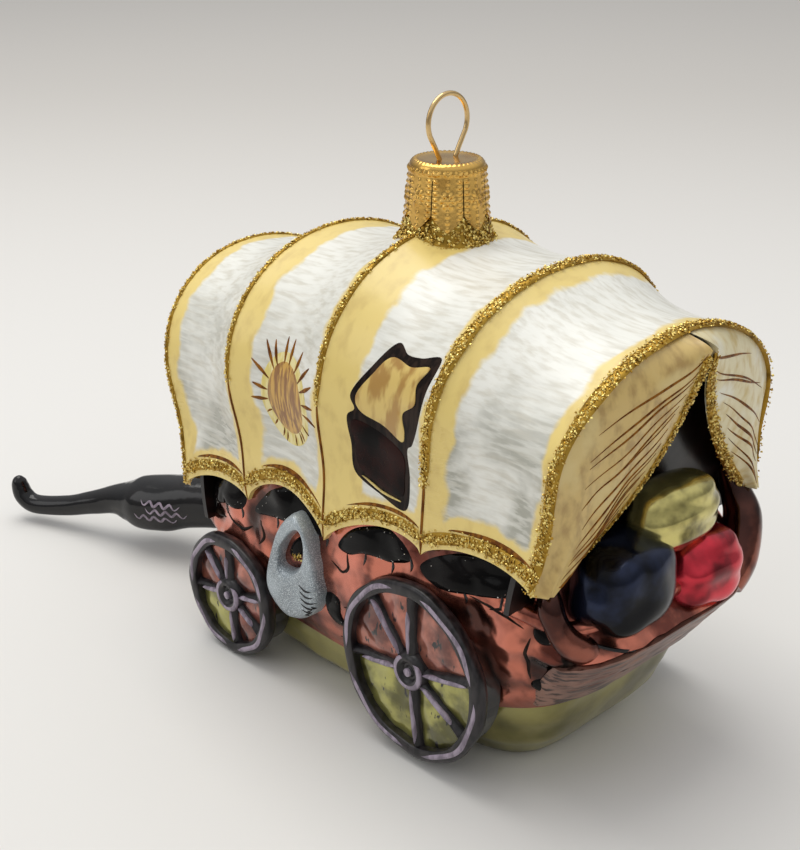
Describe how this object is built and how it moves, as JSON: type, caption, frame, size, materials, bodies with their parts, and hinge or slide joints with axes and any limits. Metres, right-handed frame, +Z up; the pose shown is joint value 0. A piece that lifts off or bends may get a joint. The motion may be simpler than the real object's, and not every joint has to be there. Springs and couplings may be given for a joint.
{
  "type": "blown glass covered wagon tree ornament",
  "caption": "Hollow blown glass tree ornament shaped as a covered wagon with a ribbed canopy, spoked wheels, loaded rear and drooping tongue, hung from a pull-off cap with a wire loop.",
  "frame": {"origin": "on the table surface that the ornament's flat base stands on, straight below the axis of the neck and cap", "axes": "+X along the wagon towards its rear, away from the tongue; +Y towards the wagon's right-hand side; +Z up, along the neck"},
  "size_m": [0.1617, 0.0574, 0.1035],
  "materials": {
    "canvas": "blown glass, silvered inside, hand painted in butter cream and brushed white with a soft pearl sheen",
    "gold_glitter": "glass neck coated in coarse gold glitter",
    "copper_lacquer": "translucent copper red lacquer over silvered glass, soft mirror gloss",
    "green_lacquer": "translucent yellow green lacquer over silvered glass",
    "tailgate_paint": "matt red brown paint with thin dark wood lines",
    "dark_inside": "very dark brown gloss paint",
    "blue_lacquer": "dark navy lacquer over silvered glass",
    "red_lacquer": "crimson lacquer over silvered glass",
    "wheel_paint": "charcoal paint with lilac grey brush strokes over copper and green lacquer",
    "grey_glitter": "silver grey paint with fine glitter",
    "black_gloss": "gloss black paint with a lilac grey smear",
    "gold_metal": "pressed gold coloured sheet metal, satin",
    "gold_wire": "drawn gold coloured spring wire, bright"
  },
  "bodies": {
    "glass": {"canopy": "canvas", "neck": "gold_glitter", "wagon_bed": "copper_lacquer", "grass_base": "green_lacquer", "tailgate": "tailgate_paint", "rear_curtain_left": "canvas", "rear_curtain_right": "canvas", "front_curtain_left": "canvas", "front_curtain_right": "canvas", "rear_lining": "dark_inside", "front_lining": "dark_inside", "green_roll": "green_lacquer", "blue_sack": "blue_lacquer", "red_roll": "red_lacquer", "wheel_rear_left": "wheel_paint", "wheel_rear_right": "wheel_paint", "wheel_front_left": "wheel_paint", "wheel_front_right": "wheel_paint", "jug_left": "grey_glitter", "jug_right": "grey_glitter", "tongue": "black_gloss"},
    "cap": {"cap": "gold_metal", "hanger_wire": "gold_wire"}
  },
  "joints": [
    {"name": "cap_pull", "type": "slide", "parent": "glass", "child": "cap", "axis": [0, 0, 1], "range_m": [0, 0.02]}
  ]
}
